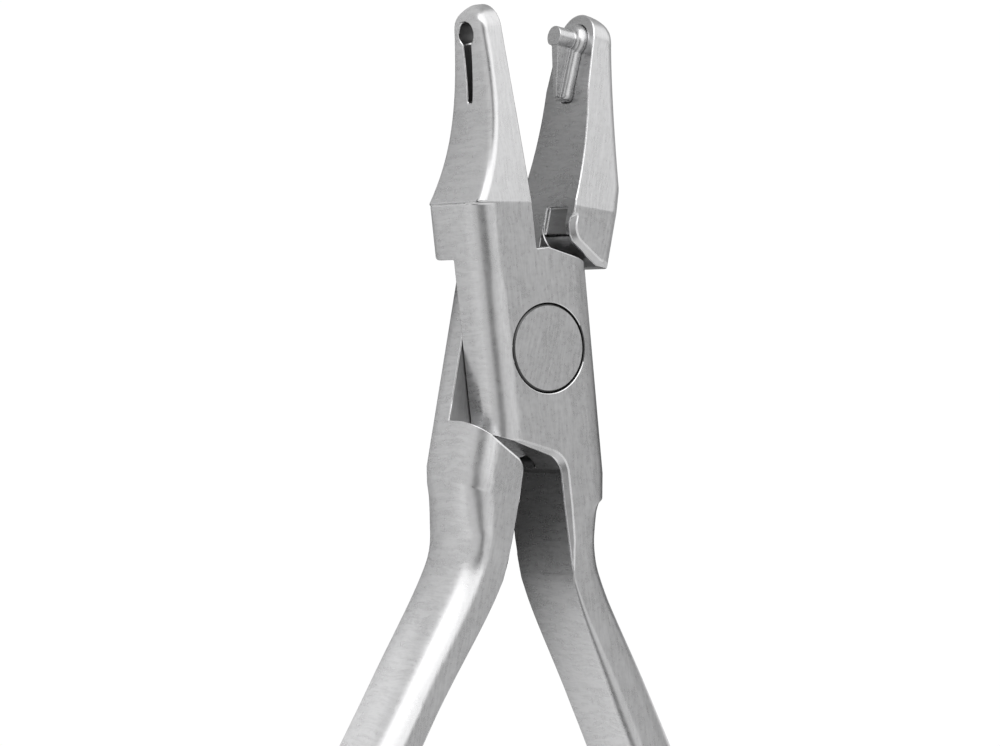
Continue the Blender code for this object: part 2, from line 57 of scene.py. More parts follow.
# Lap joint
DIE_JOINT_OUTER = 5.5
PUNCH_JOINT_OUTER = 5.9
JOINT_FLARE = 0.5
PLATE_OUTER = 5.75
EDGE_SLOPE = math.radians(22.0)
UPPER_EDGE = 7.8
DIE_LOWER_EDGE = 8.05
PUNCH_LOWER_EDGE = 8.45
DIE_LOWER_SLOPE = math.radians(25.0)
PUNCH_LOWER_SLOPE = math.radians(29.0)
DIE_SHOULDER = 9.45
PUNCH_SHOULDER = 8.4
PUNCH_SHOULDER_FLAT = 1.2
SHOULDER_SLOPE = math.radians(25.0)
HANDLE_SHOULDER = 8.75
PLATE_LAND = 8.0
PLATE_CORNER = 1.4
DIE_ROOT_FILLET = 1.8
PUNCH_ROOT_FILLET = 2.4
JAW_ROUND = 2.0
DIE_HANDLE_ROUND = 0.8
PUNCH_HANDLE_ROUND = 1.4
LAP_GAP = 0.1
CLOSED_GAP = 0.3
HANDLE_GAP = 0.5
LIP_CHAMFER = 0.45
LIP_FADE = 3.5
HANDLE_LIP = 0.4
PLATE_LIP = 0.5
FOOT_LIP = 0.5
PLATE_FILLET = 2.2
DIE_JOINT_FILLET = 2.2
PUNCH_JOINT_FILLET = 2.6
EDGE_BREAK = 0.09
BLOCK_RUN_LOW = 0.6 * PUNCH_SHOULDER
BLOCK_RUN_HIGH = 0.85 * PUNCH_SHOULDER

# Jaws
TIP_RADIUS = 2.2
PUNCH_TIP_RADIUS = 2.35
TIP_CORNER = 1.4
TAPER_START = 12.3
CREASE_SLOPE = 0.105
CREASE_RUN_LOW = 0.6 * TAPER_START
CREASE_RUN_HIGH = 0.95 * TAPER_START
DIE_WALL = 2.15
DIE_SWEEP_START = 5.3
DIE_SWEEP_POWER = 3.3
DIE_FILLET = 1.1
DIE_FRONT_FILLET = 0.68
PUNCH_JAW_OUTER = 4.8
PUNCH_JAW_TIP = 2.2
PUNCH_JAW_BEND = 14.2
PUNCH_JAW_POWER = 1.3
PUNCH_JAW_FILLET = 0.8
PUNCH_JAW_HOLLOW = 0.3
HOLLOW_TOP = 21.5
HOLLOW_FOOT = 12.2

# Handles
HANDLE_THICKNESS = 7.1
WIDEST_REACH = 10.8
DIE_CORNER_RUN = 2.05
PUNCH_CORNER_RUN = 1.2
NOTCH_DEPTH = 0.3
HANDLE_CREASE = 15.0
HANDLE_CREASE_SLOPE = 0.29
THIN_REACH = 1.2 * HANDLE_CREASE
CREASE_ABOVE = 0.7 * HANDLE_CREASE
CREASE_BELOW = 1.3 * HANDLE_CREASE
WAIST_REACH = 16.8
INNER_WAIST_REACH = 18.3
DIE_WAIST_OUTER = 3.4
PUNCH_WAIST_OUTER = 4.1
PUNCH_WAIST_CURVE = 1.3
BEND_REACH = 30.0
DIE_BEND_OUTER = 7.9
PUNCH_BEND_OUTER = 8.15
DIE_BEND_INNER = 3.55
PUNCH_BEND_INNER = 3.9
PALM_REACH = 92.0
PALM_OUTER = 18.6
PALM_INNER = 13.2
HANDLE_TUCK = 0.7
HANDLE_CURVE = 2.2
HANDLE_END_ROUND = 2.5
DIE_HANDLE_FILLET = 1.9
PUNCH_HANDLE_FILLET = 3.0
HANDLE_FILLET_TALL = 1.7
WAIST_RUN = 1.3
HANDLE_INNER_FILLET = 1.0
WAIST_INNER_FILLET = 0.05

# Shares: the tip's least half-thickness of its radius, the handle end's rounding taken off each
# side, how far from notch to waist the plate runs, and what corners may take of a section's
# width (front left, back left, back right, front right) and of its half-thickness
TIP_FLAT = 0.05
HANDLE_END_SIDE = 0.9
PLATE_END = 0.8
HANDLE_SHARES = (0.3, 0.3, 0.56, 0.56)
BLOCK_SHARE = 0.5
CORNER_LIMIT = 0.98

# Pivot pin
PIN_HEAD = 7.0
PIN_HEAD_DEPTH = 1.6
PIN_SHANK = 5.0
PIN_RUNNING_GAP = 0.1
PIN_SEAT_GAP = 0.05
PIN_EDGE = 0.12

# Key-shaped punch and die
KEY_REACH = DIE_JAW_REACH - TIP_RADIUS
KEY_RADIUS = 0.95
KEY_SLOT_LENGTH = 5.4
KEY_SLOT_TOP = 1.05
KEY_SLOT_END = 0.6
KEY_FOOT_CORNER = 0.6
PUNCH_CLEARANCE = 0.1
PUNCH_LENGTH = 2.25
WEB_STEP = 0.25
WEB_DROP = 1.1
PUNCH_FOOT_GAP = 0.45
PUNCH_FOOT = KEY_REACH - KEY_SLOT_LENGTH + PUNCH_CLEARANCE + PUNCH_FOOT_GAP
BASE_STEP = 0.16
BASE_RIM = 0.12
CROWN_BORDER = 0.15
CROWN_STEP = 0.3
INSERT_BORDER = 0.5
INSERT_HEIGHT = 0.7
INSERT_DEPTH = 0.9
INSERT_GAP = 0.05
INSERT_EDGE_BREAK = 0.04
RELIEF_DEPTH = 0.4
RELIEF_WALL = 1.0
RELIEF_REACH = 11.7

# Mesh grain
ARC = 10
ROUND = 160
WAIST_SAMPLES = 9
HOLLOW_POINTS = 24
EDGE_POINTS = 12
CROWN_POINTS = 9
DIE_SWEEP_POINTS = 24
PUNCH_SWEEP_POINTS = 10
SHARP_ANGLE = math.radians(30.0)
BREAK_ANGLE = math.radians(32.0)
CLEAR = 12.0
OVERCUT = 0.2
SLIVER = 0.01

# Recessed faces, which the steel darkens with painted shade
NEAR = 0.02
KEY_MARGIN = 0.1
KEY_SIDE_MARGIN = 0.06
CROTCH_HALF_WIDTH = 1.2
CROTCH_TOP = -8.5
CROTCH_FOOT = -10.5
CROTCH_HALF_DEPTH = 0.4
PART_DEEP = 0.55

# Steel: grain and grinding lines, then how edge breaks (painted highlight, smoother) and recesses
# (painted shade, rougher) depart from the plain faces
GRAIN_SIZE = 2.4
FLAT_PITCH = 5.0
FLAT_SWAY = 0.5
SIDE_PITCH = 3.0
SIDE_SWAY = 1.0
SIDE_LINES = 1.5
DARK_TONE = 0.93
LIGHT_TONE = 1.07
RIM_PAINTED_HIGHLIGHT = 0.22
RIM_SMOOTHER = 0.08
RECESS_PAINTED_SHADE = 0.8
RECESS_ROUGHER = 0.2

# Photograph: its size, the middle of the pin's face in it, and the angle it was taken from
PICTURE_SIZE = (1000.0, 746.0)
PIN_PIXEL = (549.0, 348.0)
PIXELS_PER_MM = 12.57
CAMERA_YAW = math.radians(37.3)
CAMERA_ROLL = math.radians(2.45)
CAMERA_DISTANCE = 300.0


def between(start, end, part):
    """start + (end - start) * part."""
    return start + (end - start) * part


def part_way(value, start, end):
    """How far value lies from start to end, clipped to 0..1."""
    return np.clip((value - start) / (end - start), 0.0, 1.0)


def ease(part, power):
    """1 - (1 - part) ** power: starts fast and levels off."""
    return 1.0 - (1.0 - part) ** power


# Meshes from arrays

def grid_mesh(name, rings):
    """A closed skin over rings (rows, columns, 3): each ring joined to the next, both ends capped."""
    rows, columns = rings.shape[:2]
    row = np.arange(rows - 1)[:, None] * columns
    here = np.arange(columns)[None, :]
    ahead = (here + 1) % columns
    quads = np.stack((row + here, row + ahead, row + columns + ahead, row + columns + here), axis=-1)
    faces = [tuple(f) for f in quads.reshape(-1, 4).tolist()]
    faces.append(tuple(range(columns))[::-1])
    faces.append(tuple(range((rows - 1) * columns, rows * columns)))
    mesh = bpy.data.meshes.new(name)
    mesh.from_pydata(rings.reshape(-1, 3).tolist(), [], faces)
    skin = bmesh.new()
    skin.from_mesh(mesh)
    bmesh.ops.recalc_face_normals(skin, faces=skin.faces)
    skin.to_mesh(mesh)
    skin.free()
    return mesh


def add_object(name, mesh):
    """An object at the origin that shows the mesh."""
    item = bpy.data.objects.new(name, mesh)
    bpy.context.scene.collection.objects.link(item)
    return item


def settle(item):
    """Replaces the object's mesh by what its modifiers make of it."""
    bpy.context.view_layer.update()
    graph = bpy.context.evaluated_depsgraph_get()
    mesh = bpy.data.meshes.new_from_object(item.evaluated_get(graph), depsgraph=graph)
    item.modifiers.clear()
    old = item.data
    item.data = mesh
    bpy.data.meshes.remove(old)


def carve(item, cutters):
    """Takes each cutter's volume away and removes the cutter."""
    for cutter in cutters:
        modifier = item.modifiers.new(cutter.name, "BOOLEAN")
        modifier.operation = "DIFFERENCE"
        modifier.solver = "EXACT"
        modifier.object = cutter
        settle(item)
        bpy.data.objects.remove(cutter)


def rounded(corners):
    """A closed outline through (x, y, radius) corners.

    Each arc is centre + (start sin((1 - t) sweep) + end sin(t sweep)) / sin(sweep), where start
    and end run from the centre to the two tangent points.
    """
    outline = []
    count = len(corners)
    for k, (x, y, radius) in enumerate(corners):
        here = np.array((x, y))
        if radius == 0.0:
            outline.append(here[None, :])
            continue
        back = np.array(corners[k - 1][:2]) - here
        ahead = np.array(corners[(k + 1) % count][:2]) - here
        back = back / np.linalg.norm(back)
        ahead = ahead / np.linalg.norm(ahead)
        half = 0.5 * math.acos(float(np.clip(back @ ahead, -1.0, 1.0)))
        middle = (back + ahead) / np.linalg.norm(back + ahead)
        centre = here + middle * radius / math.sin(half)
        start = here + back * radius / math.tan(half) - centre
        end = here + ahead * radius / math.tan(half) - centre
        sweep = math.pi - 2.0 * half
        part = np.linspace(0.0, 1.0, 2 * ARC)[:, None]
        arc = start * np.sin((1.0 - part) * sweep) + end * np.sin(part * sweep)
        outline.append(centre + arc / math.sin(sweep))
    return np.concatenate(outline)


def grown(outline, distance):
    """The outline moved outward by a distance along the mitre of each corner's two normals."""
    ahead = np.roll(outline, -1, axis=0) - outline
    length = np.linalg.norm(ahead, axis=1)[:, None]
    normal = np.column_stack((ahead[:, 1], -ahead[:, 0])) / length
    if np.sum(outline[:, 0] * ahead[:, 1] - outline[:, 1] * ahead[:, 0]) < 0.0:
        normal = -normal
    before = np.roll(normal, 1, axis=0)
    mitre = (normal + before) / (1.0 + np.sum(normal * before, axis=1))[:, None]
    return outline + mitre * distance


def prism(name, outline, levels):
    """A cutter along z: the outline at each (z, growth) level.

    Each of the two is one value, or a column with one value per point.
    """
    column = np.ones((len(outline), 1))
    rings = [np.hstack((grown(outline, growth * column), z * column)) for z, growth in levels]
    return add_object(name, grid_mesh(name, np.stack(rings)))


def edge_at(x, distance, slope=EDGE_SLOPE):
    """(distance + x sin slope) / cos slope: the height at x of an edge sloping up to +x."""
    return (distance + x * math.sin(slope)) / math.cos(slope)


def key_outline(border, foot):
    """The keyhole's outline as (distance from pivot, z), grown by a border.

    A circle KEY_REACH + radius cos, radius sin is run into a slot that tapers to a foot with
    quarter-round corners.
    """
    radius = KEY_RADIUS + border
    top = 0.5 * KEY_SLOT_TOP + border
    end = 0.5 * KEY_SLOT_END + border
    neck = math.asin(top / radius)
    angle = np.linspace(math.pi - neck, neck - math.pi, 6 * ARC)
    circle = np.column_stack((KEY_REACH + radius * np.cos(angle), radius * np.sin(angle)))
    corner = KEY_FOOT_CORNER * end
    arc = np.linspace(0.0, 0.5 * math.pi, ARC)
    turn = np.column_stack((foot + corner * (1.0 - np.sin(arc)), end - corner * (1.0 - np.cos(arc))))
    return np.concatenate((circle, turn * (1.0, -1.0), turn[::-1]))


def turned_rings(outline, angles):
    """The outline at each turn about the pivot axis: x = reach sin angle, y = reach cos angle."""
    reach = outline[None, :, 0]
    angle = angles[:, None]
    z = np.broadcast_to(outline[None, :, 1], (len(angles), len(outline)))
    return np.stack((reach * np.sin(angle), reach * np.cos(angle), z), axis=-1)


def flat_ring(outline, x):
    """The outline on a plane across x."""
    return np.column_stack((np.full(len(outline), x), outline))[None, :, :]


class Half:
    """Contours and sections of one forging in its closed frame, for whole arrays of heights."""

    def __init__(self, is_die):
        self.is_die = is_die
        self.half_joint = 0.5 * JOINT_THICKNESS
        self.half_handle = 0.5 * HANDLE_THICKNESS
        self.jaw_inner = -0.5 * CLOSED_GAP
        self.handle_inner = 0.5 * HANDLE_GAP
        self.jaw_reach = DIE_JAW_REACH if is_die else PUNCH_JAW_REACH
        self.jaw_shoulder = DIE_SHOULDER if is_die else PUNCH_SHOULDER
        self.tip_radius = TIP_RADIUS if is_die else PUNCH_TIP_RADIUS
        self.tip_centre = self.jaw_reach - self.tip_radius
        self.hollow = 0.0 if is_die else PUNCH_JAW_HOLLOW
        self.lower_edge = DIE_LOWER_EDGE if is_die else PUNCH_LOWER_EDGE
        self.lower_slope = DIE_LOWER_SLOPE if is_die else PUNCH_LOWER_SLOPE
        self.root_fillet = DIE_ROOT_FILLET if is_die else PUNCH_ROOT_FILLET
        self.handle_round = DIE_HANDLE_ROUND if is_die else PUNCH_HANDLE_ROUND
        self.handle_fillet = DIE_HANDLE_FILLET if is_die else PUNCH_HANDLE_FILLET
        self.joint_fillet = DIE_JOINT_FILLET if is_die else PUNCH_JOINT_FILLET
        self.tall = 1.0 if is_die else HANDLE_FILLET_TALL
        self.shoulder_flat = -OVERCUT if is_die else PUNCH_SHOULDER_FLAT
        self.joint_outer = DIE_JOINT_OUTER if is_die else PUNCH_JOINT_OUTER
        self.notch = NOTCH_DEPTH if is_die else 0.0
        self.notch_reach = WIDEST_REACH + (DIE_CORNER_RUN if is_die else PUNCH_CORNER_RUN)
        self.waist_curve = HANDLE_CURVE if is_die else PUNCH_WAIST_CURVE
        self.waist = DIE_WAIST_OUTER if is_die else PUNCH_WAIST_OUTER
        self.bend_outer = DIE_BEND_OUTER if is_die else PUNCH_BEND_OUTER
        self.bend_inner = DIE_BEND_INNER if is_die else PUNCH_BEND_INNER

    def jaw_outer(self, y):
        """Outer side of the jaw: start + (tip - start) * ease(part of the way, power)."""
        if self.is_die:
            part = part_way(y, TAPER_START, self.jaw_reach)
            return between(DIE_SWEEP_START, DIE_WALL, ease(part, DIE_SWEEP_POWER))
        part = part_way(y, PUNCH_JAW_BEND, self.jaw_reach)
        return between(PUNCH_JAW_OUTER, PUNCH_JAW_TIP, ease(part, PUNCH_JAW_POWER))

    def block_outer(self, y):
        """Outer side of the lap plate, run into the punch jaw's width above its shoulder."""
        if self.is_die:
            return np.full_like(y, PLATE_OUTER)
        return between(PLATE_OUTER, PUNCH_JAW_OUTER, part_way(y, BLOCK_RUN_LOW, BLOCK_RUN_HIGH))

    def joint_right(self, y):
        """Handle side of the joint: straight down to the widest reach, then a small tuck.

        Measured in JOINT_FLARE from joint_outer, it runs from 0.25 to -0.5, then to -1.1.
        """
        down = part_way(-y, -PLATE_LAND, WIDEST_REACH)
        flare = self.joint_outer + JOINT_FLARE * (0.25 - 0.75 * down)
        last = part_way(-y, WIDEST_REACH, self.notch_reach)
        tuck = self.joint_outer - JOINT_FLARE * (0.5 + 0.6 * last)
        return np.where(-y < WIDEST_REACH, flare, tuck)

    def swing(self, y, start, waist, bend, palm):
        """One side of the handle, down its length.

        waist + (bend - waist)(1.5 - 0.5 t) t^1.5 to the bend, an ease to the palm, then palm
        less HANDLE_TUCK t^2 to the end.
        """
        t = part_way(-y, start, BEND_REACH)
        side = between(waist, bend, (1.5 - 0.5 * t) * t ** 1.5)
        lower = between(bend, palm, ease(part_way(-y, BEND_REACH, PALM_REACH), HANDLE_CURVE))
        end = palm - HANDLE_TUCK * part_way(-y, PALM_REACH, HANDLE_REACH) ** 2
        return np.where(-y > PALM_REACH, end, np.where(-y > BEND_REACH, lower, side))

    def handle_right(self, y):
        """Outer side of the handle: the mean of handle_side over a short run either way.

        The run is WAIST_RUN, less near the notch, where it dies out.
        """
        run = np.minimum(WAIST_RUN, np.maximum(-y - self.notch_reach, 0.0))
        spread = np.linspace(-1.0, 1.0, WAIST_SAMPLES)[:, None]
        return np.mean(self.handle_side(y + run * spread), axis=0)

    def handle_side(self, y):
        """The scallop under the notch, then the swing."""
        notch = self.joint_right(np.array(-self.notch_reach)) - self.notch
        part = part_way(-y, self.notch_reach, WAIST_REACH)
        scallop = between(notch, self.waist, ease(part, self.waist_curve))
        swing = self.swing(y, WAIST_REACH, self.waist, self.bend_outer, PALM_OUTER)
        return np.where(-y > WAIST_REACH, swing, scallop)

    def section(self, y):
        """Left, right, half-thickness, corner radii, their tallness and crease slope per height.

        Corners run front left, back left, back right, front right. The jaw's tip is a dome,
        sqrt(tip_radius^2 - rise^2), and the ends' corners are quarter rounds.
        """
        jaw = y >= TAPER_START
        handle = y < -self.notch_reach

        taper = part_way(y, TAPER_START, self.tip_centre)
        flat = (TIP_FLAT * self.tip_radius) ** 2
        dome = np.sqrt(np.maximum(self.tip_radius ** 2 - (y - self.tip_centre) ** 2, flat))
        jaw_half = np.where(y > self.tip_centre, dome, between(self.half_joint, self.tip_radius, taper))
        over = np.maximum(0.0, y - (self.jaw_reach - TIP_CORNER))
        corner = np.sqrt(np.maximum(TIP_CORNER ** 2 - over ** 2, 0.0))
        jaw_left = TIP_CORNER - corner - self.jaw_outer(y)

        thin = part_way(-y, HANDLE_CREASE, THIN_REACH)
        over = np.maximum(0.0, HANDLE_END_ROUND - (HANDLE_REACH + y))
        drop = HANDLE_END_ROUND - np.sqrt(np.maximum(HANDLE_END_ROUND ** 2 - over ** 2, 0.0))
        hand_half = between(self.half_joint, self.half_handle, thin) - drop
        inner = self.swing(y, INNER_WAIST_REACH, self.handle_inner, self.bend_inner, PALM_INNER)
        plate_end = between(self.notch_reach, WAIST_REACH, PLATE_END)
        hand_left = np.where(-y < plate_end, -PLATE_OUTER, inner) + HANDLE_END_SIDE * drop
        hand_right = self.handle_right(y) - HANDLE_END_SIDE * drop

        left = np.where(jaw, jaw_left, np.where(handle, hand_left, -self.block_outer(y)))
        right = np.where(jaw, DIE_FILLET, np.where(handle, hand_right, self.joint_right(y)))
        half = np.where(jaw, jaw_half, np.where(handle, hand_half, self.half_joint))
        front = DIE_FRONT_FILLET if self.is_die else PUNCH_JAW_FILLET
        back = DIE_FILLET if self.is_die else PUNCH_JAW_FILLET
        block = PLATE_FILLET if self.is_die else PUNCH_JAW_FILLET
        bend = part_way(-y, WAIST_REACH, BEND_REACH)
        inside = between(WAIST_INNER_FILLET, HANDLE_INNER_FILLET, bend)
        bend = part_way(-y, self.notch_reach, BEND_REACH)
        outside = between(self.joint_fillet, self.handle_fillet, bend)
        radii = np.stack((
            np.where(jaw, front, np.where(handle, inside, PLATE_FILLET)),
            np.where(jaw, back, np.where(handle, inside, block)),
            np.where(jaw, OVERCUT, np.where(handle, outside, self.joint_fillet)),
            np.where(jaw, OVERCUT, np.where(handle, outside, self.joint_fillet)),
        ))
        rise = np.minimum(
            part_way(-y, CREASE_ABOVE, HANDLE_CREASE),
            part_way(-y, CREASE_BELOW, HANDLE_CREASE),
        )
        jaw_slope = CREASE_SLOPE * (1.0 - taper)
        block_slope = CREASE_SLOPE * part_way(y, CREASE_RUN_LOW, CREASE_RUN_HIGH)
        slope = np.where(jaw, jaw_slope, np.where(handle, HANDLE_CREASE_SLOPE * rise, block_slope))
        tall = between(1.0, self.tall, part_way(-y, self.notch_reach, WAIST_REACH))
        tall = np.stack((np.ones_like(y), np.ones_like(y), tall, tall))
        return left, right, half, radii, tall, slope

    def rings(self, y):
        """Rectangles with corner arcs centre + (radius cos, radius times tallness sin).

        A radius is held to its share of the width and to the half-thickness. Each section leans
        towards -y by its slope times the distance from the outer side.
        """
        left, right, half, radii, tall, slope = self.section(y)
        handle = y < -self.notch_reach
        share = np.where(handle, np.array(HANDLE_SHARES)[:, None], BLOCK_SHARE)
        width = right - np.where(handle, np.maximum(left, self.handle_inner), left)
        radii = np.minimum(radii, CORNER_LIMIT * np.minimum(half, share * width))
        rise = np.minimum(radii * tall, CORNER_LIMIT * half)
        centre_x = np.stack((left + radii[0], left + radii[1], right - radii[2], right - radii[3]))
        centre_z = np.stack((half - rise[0], rise[1] - half, rise[2] - half, half - rise[3]))
        quarter = np.linspace(0.0, 0.5 * math.pi, ARC + 1)[None, :]
        turn = np.radians((90.0, 180.0, 270.0, 0.0))[:, None] + quarter
        px = centre_x[:, :, None] + radii[:, :, None] * np.cos(turn)[:, None, :]
        pz = centre_z[:, :, None] + rise[:, :, None] * np.sin(turn)[:, None, :]
        upper = left[None, :, None] - px
        lower = np.maximum(px, 0.0) - right[None, :, None]
        lean = slope[None, :, None] * np.where(y[None, :, None] > 0.0, upper, lower)
        points = np.stack((px, y[None, :, None] + lean, pz), axis=-1)
        return points.transpose(1, 0, 2, 3).reshape(len(y), -1, 3)

    def stations(self):
        """Heights of the sections, from the handle's end to the jaw's tip, closest where it curves."""
        hair = 0.01 * self.notch_reach
        end_turn = np.radians((0, 12, 25, 35, 45, 55, 65, 78, 90))
        end = HANDLE_REACH - HANDLE_END_ROUND * (1.0 - np.cos(end_turn))
        palm = np.linspace(between(PALM_REACH, HANDLE_REACH, 0.6), BEND_REACH, 60)
        bend = np.linspace(between(BEND_REACH, WAIST_REACH, 0.03), WAIST_REACH, 30)
        flare = between(self.notch_reach, WAIST_REACH, np.linspace(0.96, 0.06, 16))
        notch = (self.notch_reach + hair, self.notch_reach, WIDEST_REACH)
        down = -np.concatenate((end, palm, bend, flare, notch))
        joint = (-0.5 * WIDEST_REACH, 0.0, BLOCK_RUN_LOW, BLOCK_RUN_HIGH, TAPER_START - hair)
        jaw = np.linspace(TAPER_START, self.tip_centre, 40)
        tip_turn = np.radians((8, 16, 24, 32, 40, 48, 56, 64, 72, 79, 86))
        tip = self.tip_centre + self.tip_radius * np.sin(tip_turn)
        return np.concatenate((down, joint, jaw, tip))


def upper_outline(half):
    """The space beside the jaw and the plate's upper edge.

    The jaw's inner face is a parabola 4 hollow t (1 - t) deep between the hollow's ends.
    """
    land_end = (UPPER_EDGE - PLATE_LAND * math.cos(EDGE_SLOPE)) / math.sin(EDGE_SLOPE)
    edge_x = half.joint_outer + JOINT_FLARE
    part = np.linspace(0.0, 1.0, HOLLOW_POINTS)
    hollow_x = half.jaw_inner - 4.0 * half.hollow * part * (1.0 - part)
    hollow = [(x, y, 0.0) for x, y in zip(hollow_x, between(HOLLOW_TOP, HOLLOW_FOOT, part))]
    return rounded([
        (half.jaw_inner, half.jaw_reach + CLEAR, 0.0),
        *hollow,
        (half.jaw_inner, PLATE_LAND, 0.0),
        (land_end, PLATE_LAND, 0.0),
        (edge_x, edge_at(-edge_x, UPPER_EDGE), PLATE_CORNER),
        (edge_x, 0.5 * UPPER_EDGE, 0.0),
        (edge_x + CLEAR, 0.5 * UPPER_EDGE, 0.0),
        (edge_x + CLEAR, half.jaw_reach + CLEAR, 0.0),
    ])


def lower_outline(half):
    """The space beside the handle and under the plate's lower edge, and its lip per point.

    The lip is LIP_CHAMFER wide at the root. It narrows to PLATE_LIP of that along the plate's
    edge and to FOOT_LIP of it down the handle.
    """
    wall = half.handle_inner + SLIVER
    foot = INNER_WAIST_REACH + 8.0 * LIP_CHAMFER
    along = np.linspace(-CLEAR, -0.2 * CLEAR, EDGE_POINTS)
    down = np.linspace(half.notch_reach, INNER_WAIST_REACH, EDGE_POINTS)
    outline = rounded([
        *((x, -edge_at(x, half.lower_edge, half.lower_slope), 0.0) for x in along),
        (wall, -edge_at(wall, half.lower_edge, half.lower_slope), half.root_fillet),
        *((wall, -reach, 0.0) for reach in down),
        (wall - LIP_CHAMFER, -foot, 0.0),
        (-CLEAR, -foot, 0.0),
    ])
    reach = -outline[:, 1:]
    root = part_way(reach, 0.85 * half.lower_edge, 1.1 * half.lower_edge)
    fade = part_way(reach, half.notch_reach, INNER_WAIST_REACH)
    return outline, LIP_CHAMFER * between(PLATE_LIP, 1.0, root) * between(1.0, FOOT_LIP, fade)


def lap_outline(half):
    """The recess for the other half's plate, and its lip per point, narrow beside the handle."""
    inside = half.handle_inner
    flat_x = half.shoulder_flat - float(half.block_outer(np.array(half.jaw_shoulder)))
    flat_y = edge_at(flat_x, half.jaw_shoulder, SHOULDER_SLOPE)
    jaw_root = edge_at(half.jaw_inner, half.jaw_shoulder, SHOULDER_SLOPE)
    jaw_top = jaw_root + 0.75 * JAW_ROUND
    handle_root = edge_at(-inside, HANDLE_SHOULDER)
    outline = rounded([
        (-CLEAR, flat_y, 0.0),
        (flat_x, flat_y, 0.0),
        (half.jaw_inner + SLIVER, jaw_root, JAW_ROUND),
        (half.jaw_inner + SLIVER, jaw_top, 0.0),
        (CLEAR, jaw_top, 0.0),
        (CLEAR, -edge_at(-CLEAR, HANDLE_SHOULDER), 0.0),
        (inside - SLIVER, -handle_root, half.handle_round),
        (inside - SLIVER, -handle_root - half.handle_round, 0.0),
        (inside - HANDLE_LIP * LIP_CHAMFER - SLIVER, -handle_root - LIP_FADE, 0.0),
        (-CLEAR, -handle_root - LIP_FADE, 0.0),
    ])
    return outline, LIP_CHAMFER * np.where(outline[:, 1:] > 0.0, 1.0, HANDLE_LIP)


def build_half(name, half):
    """One forging: the skinned envelope less the spaces beside and under its lap plate."""
    body = add_object(name, grid_mesh(name, half.rings(half.stations())))
    joint = half.half_joint
    top = joint + OVERCUT
    lower, lower_lip = lower_outline(half)
    lap, lap_lip = lap_outline(half)
    lower_levels = [(-top, 0.0), (joint - lower_lip, 0.0), (top, lower_lip + OVERCUT)]
    lap_levels = [(-top, lap_lip + OVERCUT), (lap_lip - joint, 0.0), (0.5 * LAP_GAP, 0.0)]
    carve(body, [
        prism(name + "_upper", upper_outline(half), [(-top, 0.0), (top, 0.0)]),
        prism(name + "_lower", lower, lower_levels),
        prism(name + "_lap", lap, lap_levels),
    ])
    return body


def turned(name, levels):
    """A round solid about the pivot axis: the circle radius (cos, sin) at each (radius, z) level."""
    angle = np.linspace(0.0, 2.0 * math.pi, ROUND, endpoint=False)
    circle = np.column_stack((np.cos(angle), np.sin(angle)))
    rings = [np.column_stack((radius * circle, np.full(ROUND, z))) for radius, z in levels]
    return add_object(name, grid_mesh(name, np.stack(rings)))


def build_pin():
    """The flat-headed pin: shank, head and a small edge break round its face."""
    half = 0.5 * JOINT_THICKNESS
    head = 0.5 * PIN_HEAD
    shank = 0.5 * PIN_SHANK
    under = half - PIN_HEAD_DEPTH
    edge = PIN_EDGE
    return turned("ground_pin", (
        (shank - edge, -half),
        (shank, edge - half),
        (shank, under),
        (head, under),
        (head, half - edge),
        (head - edge, half),
    ))


def pin_hole():
    """The running hole, counterbored for the pin's head."""
    through = 0.5 * JOINT_THICKNESS + OVERCUT
    shank = 0.5 * PIN_SHANK + PIN_RUNNING_GAP
    head = 0.5 * PIN_HEAD + PIN_RUNNING_GAP
    seat = 0.5 * JOINT_THICKNESS - PIN_HEAD_DEPTH - PIN_RUNNING_GAP
    return turned("pin_hole", ((shank, -through), (shank, seat), (head, seat), (head, through)))


def pin_seat_hole():
    """The close hole in the rear half that holds the pin."""
    through = 0.5 * JOINT_THICKNESS + OVERCUT
    shank = 0.5 * PIN_SHANK + PIN_SEAT_GAP
    return turned("pin_seat_hole", ((shank, -through), (shank, through)))


def keyhole():
    """The die: the key outline swept about the pivot axis through the jaw."""
    first = -math.atan2(PLATE_OUTER, KEY_REACH)
    last = math.atan2(DIE_FILLET, KEY_REACH)
    outline = key_outline(0.0, KEY_REACH - KEY_SLOT_LENGTH)
    rings = turned_rings(outline, np.linspace(first, last, DIE_SWEEP_POINTS))
    return add_object("keyhole", grid_mesh("keyhole", rings))


def insert_seat(half):
    """The pocket in the punch jaw that holds the insert."""
    seat = key_outline(INSERT_BORDER + INSERT_GAP, PUNCH_FOOT - BASE_STEP - INSERT_GAP)
    floor = half.jaw_inner - INSERT_DEPTH - INSERT_GAP
    rings = np.concatenate((flat_ring(seat, floor), flat_ring(seat, CLEAR)))
    return add_object("insert_seat", grid_mesh("insert_seat", rings))


def jaw_relief(half):
    """The shallow relief at the foot of the punch jaw's inner face."""
    depth = half.half_joint - RELIEF_WALL
    x = half.jaw_inner - RELIEF_DEPTH
    outline = np.array([
        (x, 0.9 * PUNCH_SHOULDER),
        (CLEAR, 0.9 * PUNCH_SHOULDER),
        (CLEAR, RELIEF_REACH),
        (x, RELIEF_REACH),
    ])
    return prism("jaw_relief", outline, [(-depth, 0.0), (-LAP_GAP, 0.0)])


def crown_ring(face, turn):
    """The base's outline at one turn of its crown.

    The border and the step at the foot shrink with the turn's cos, the height grows with its sin.
    """
    border = INSERT_BORDER * between(CROWN_BORDER, 1.0, math.cos(turn))
    step = BASE_STEP * between(CROWN_STEP, 1.0, math.cos(turn))
    height = between(BASE_RIM, INSERT_HEIGHT, math.sin(turn))
    return flat_ring(key_outline(border, PUNCH_FOOT - step), face + height)


